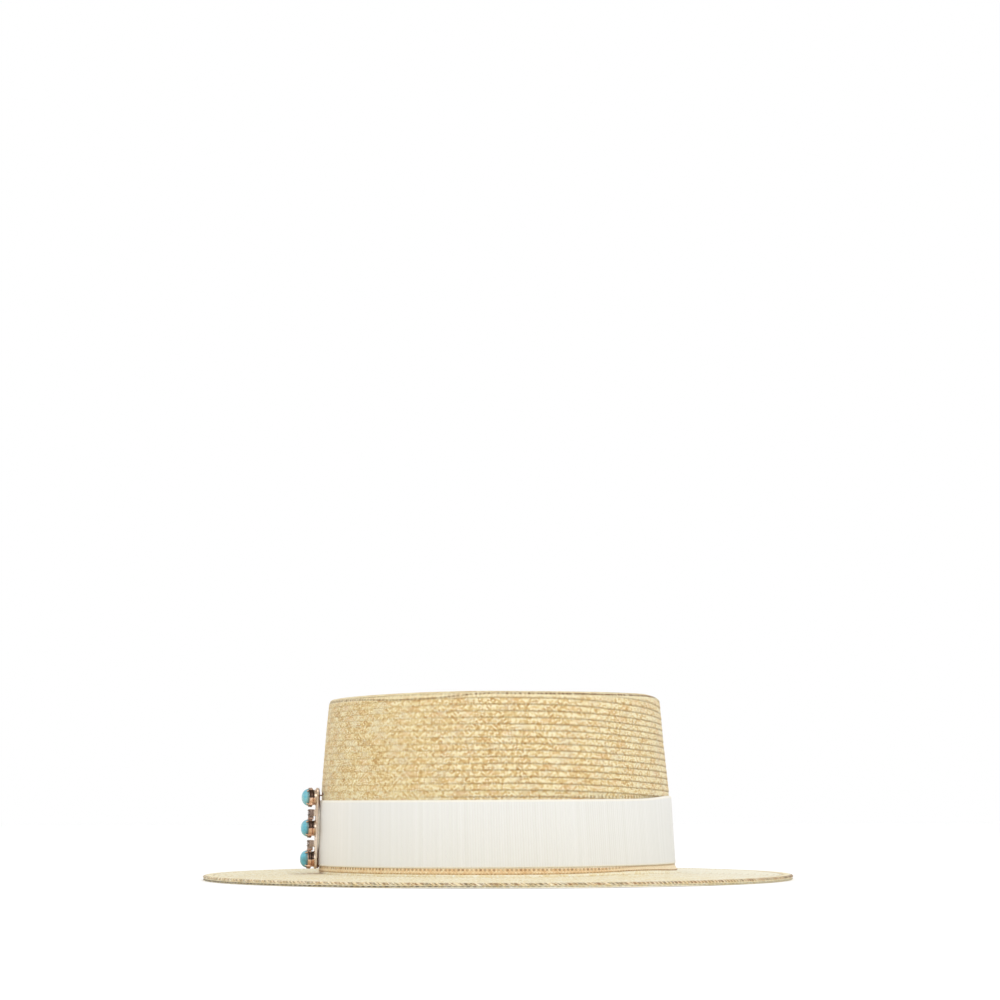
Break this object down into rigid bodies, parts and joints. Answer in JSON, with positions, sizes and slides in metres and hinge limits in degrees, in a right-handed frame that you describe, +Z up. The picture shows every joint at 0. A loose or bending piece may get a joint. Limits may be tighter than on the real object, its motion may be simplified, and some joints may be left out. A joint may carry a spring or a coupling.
{
  "type": "straw boater hat",
  "caption": "Straw boater hat: low oval crown with a flat top, level brim, wide pale ribbon band and an upright bar brooch of round cabochons pinned on the front of the band.",
  "frame": {"origin": "on the surface that the brim rests on, under the middle of the brim", "axes": "+Z up through the crown, -Y towards the hat's front where the brooch is, Y along the hat's long axis, X across it"},
  "size_m": [0.2998, 0.3328, 0.1025],
  "materials": {
    "straw": "plaited wheat straw, mottled cream, golden and tan, satin",
    "brim_straw": "plaited wheat straw, pale cream and gold, satin",
    "ribbon": "off-white grosgrain with fine upright ribs",
    "rose_gold": "polished rose gold",
    "pin_steel": "dark plain wire",
    "turquoise": "polished opaque stone",
    "crystal": "clear cut stone"
  },
  "bodies": {
    "root": {"crown": "straw", "brim": "brim_straw", "hat_band": "ribbon", "brooch_frame": "rose_gold", "brooch_pin": "pin_steel", "turquoise_bottom": "turquoise", "turquoise_middle": "turquoise", "turquoise_top": "turquoise", "crystal_lower": "crystal", "crystal_upper": "crystal"}
  },
  "joints": []
}
